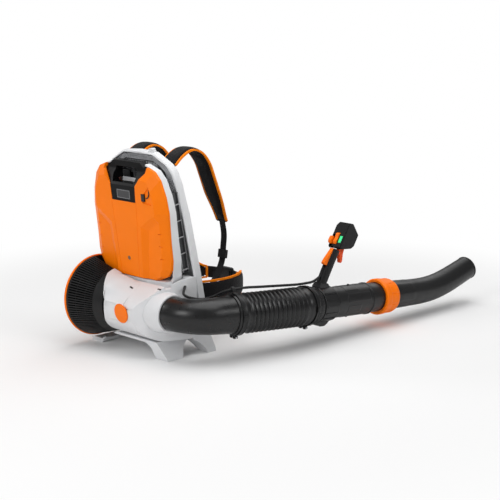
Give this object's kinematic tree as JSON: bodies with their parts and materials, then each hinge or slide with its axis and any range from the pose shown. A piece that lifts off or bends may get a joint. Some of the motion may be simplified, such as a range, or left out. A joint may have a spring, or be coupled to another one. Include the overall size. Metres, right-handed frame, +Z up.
{
  "type": "backpack leaf blower",
  "caption": "Battery backpack blower on a four-footed stand: slatted intake, ribbed hose, curved nozzle, control handle on the tube and a padded harness.",
  "frame": {"origin": "on the floor under the fan axis, in the middle plane of the battery and backplate", "axes": "+X to the right seen from the battery side, along the fan axis towards the outlet; +Y towards the wearer, along the blower tube; +Z up"},
  "size_m": [0.6062, 1.3572, 0.6141],
  "materials": {
    "housing_white": "satin",
    "orange": "satin",
    "grey": "matte",
    "steel": "brushed",
    "cells": "matte",
    "green": "glossy",
    "label": "matte",
    "soft_black": "matte",
    "fabric": "woven",
    "black": "satin"
  },
  "bodies": {
    "frame": {"stand_frame": "housing_white", "fan_housing": "housing_white", "outlet_collar": "housing_white", "badge_disc": "orange", "intake_basket": "black", "intake_rim": "orange", "intake_cover": "black", "motor_pod": "steel", "contact_block": "black", "backplate": "housing_white", "back_insert": "grey", "back_pad": "fabric", "left_rail": "grey", "right_rail": "grey", "outlet_elbow": "black", "elbow_clamp": "black", "cable_on_elbow": "soft_black", "cable_clip": "black", "left_shoulder_pad": "fabric", "left_webbing": "fabric", "left_adjuster": "black", "left_hip_pad": "fabric", "right_shoulder_pad": "fabric", "right_webbing": "fabric", "right_adjuster": "black", "right_hip_pad": "fabric", "belt_webbing": "fabric", "belt_buckle": "black"},
    "fan": {"fan_rotor": "black", "motor_shaft": "steel"},
    "battery": {"battery_front_shell": "orange", "battery_rear_shell": "housing_white", "battery_handle": "black", "battery_label_plate": "label", "cell_block": "cells", "status_lamp": "label", "charge_strip": "black"},
    "charge_key": {"charge_button": "black"},
    "left_latch": {"left_latch_lever": "black"},
    "right_latch": {"right_latch_lever": "black"},
    "hose": {"bellows": "soft_black", "cable_over_hose": "soft_black"},
    "tube": {"hose_clamp": "black", "swivel_cuff": "black", "handle_tube": "black", "cable_to_handle": "soft_black"},
    "nut": {"union_nut": "orange"},
    "nozzle": {"nozzle": "black"},
    "handle": {"handle_bracket": "black", "left_grip_half": "black", "right_grip_half": "black", "control_head": "black", "display_window": "green"},
    "trigger": {"trigger": "orange"},
    "lock": {"lock_lever": "orange"},
    "cruise": {"cruise_lever": "orange"},
    "button": {"push_button": "orange"},
    "knob": {"clamp_knob": "black"}
  },
  "joints": [
    {"name": "fan_spin", "type": "hinge", "parent": "frame", "child": "fan", "pos_m": [0, 0, 0.141], "axis": [1, 0, 0], "continuous": true},
    {"name": "battery_slide", "type": "slide", "parent": "frame", "child": "battery", "axis": [0, -0.1719, 0.9851], "range_m": [0, 0.34]},
    {"name": "charge_press", "type": "slide", "parent": "battery", "child": "charge_key", "axis": [0, 0.9951, 0.0993], "range_m": [0, 0.0015], "stiffness_N_per_m": 200},
    {"name": "left_latch_turn", "type": "hinge", "parent": "frame", "child": "left_latch", "pos_m": [-0.078, 0.05346, 0.53495], "axis": [1, 0, 0], "range_deg": [0, 8], "stiffness_Nm_per_rad": 0.6},
    {"name": "right_latch_turn", "type": "hinge", "parent": "frame", "child": "right_latch", "pos_m": [0.078, 0.05346, 0.53495], "axis": [1, 0, 0], "range_deg": [0, 8], "stiffness_Nm_per_rad": 0.6},
    {"name": "hose_yaw", "type": "hinge", "parent": "frame", "child": "hose", "pos_m": [0.29909, 0.15555, 0.13445], "axis": [0, 0, 1], "range_deg": [-15, 15], "deforming": ["bellows"]},
    {"name": "hose_pitch", "type": "hinge", "parent": "hose", "child": "tube", "pos_m": [0.34132, 0.36909, 0.12554], "axis": [0.9997, -0.0262, 0], "range_deg": [-3, 14], "deforming": ["cable_over_hose"]},
    {"name": "nut_turn", "type": "hinge", "parent": "tube", "child": "nut", "pos_m": [0.3514, 0.75377, 0.09526], "axis": [0.0261, 0.9966, -0.0785], "range_deg": [0, 36]},
    {"name": "nozzle_slide", "type": "slide", "parent": "tube", "child": "nozzle", "axis": [0.0261, 0.9966, -0.0785], "range_m": [0, 0.06]},
    {"name": "handle_slide", "type": "slide", "parent": "tube", "child": "handle", "axis": [0.0261, 0.9966, -0.0785], "range_m": [0, 0.04], "deforming": ["cable_to_handle"]},
    {"name": "trigger_pull", "type": "hinge", "parent": "handle", "child": "trigger", "pos_m": [0.34607, 0.55022, 0.28574], "axis": [0.9997, -0.0262, 0], "range_deg": [-10, 0], "stiffness_Nm_per_rad": 0.3},
    {"name": "lock_press", "type": "hinge", "parent": "handle", "child": "lock", "pos_m": [0.34527, 0.51981, 0.28234], "axis": [0.9997, -0.0262, 0], "range_deg": [0, 8], "stiffness_Nm_per_rad": 0.3},
    {"name": "cruise_turn", "type": "hinge", "parent": "handle", "child": "cruise", "pos_m": [0.34581, 0.54052, 0.30418], "axis": [0.9997, -0.0262, 0], "range_deg": [-12, 12]},
    {"name": "button_press", "type": "slide", "parent": "handle", "child": "button", "axis": [0.0222, 0.8478, -0.5299], "range_m": [0, 0.002], "stiffness_N_per_m": 200},
    {"name": "knob_turn", "type": "hinge", "parent": "handle", "child": "knob", "pos_m": [0.32091, 0.46452, 0.05638], "axis": [0.9997, -0.0262, 0], "continuous": true}
  ]
}
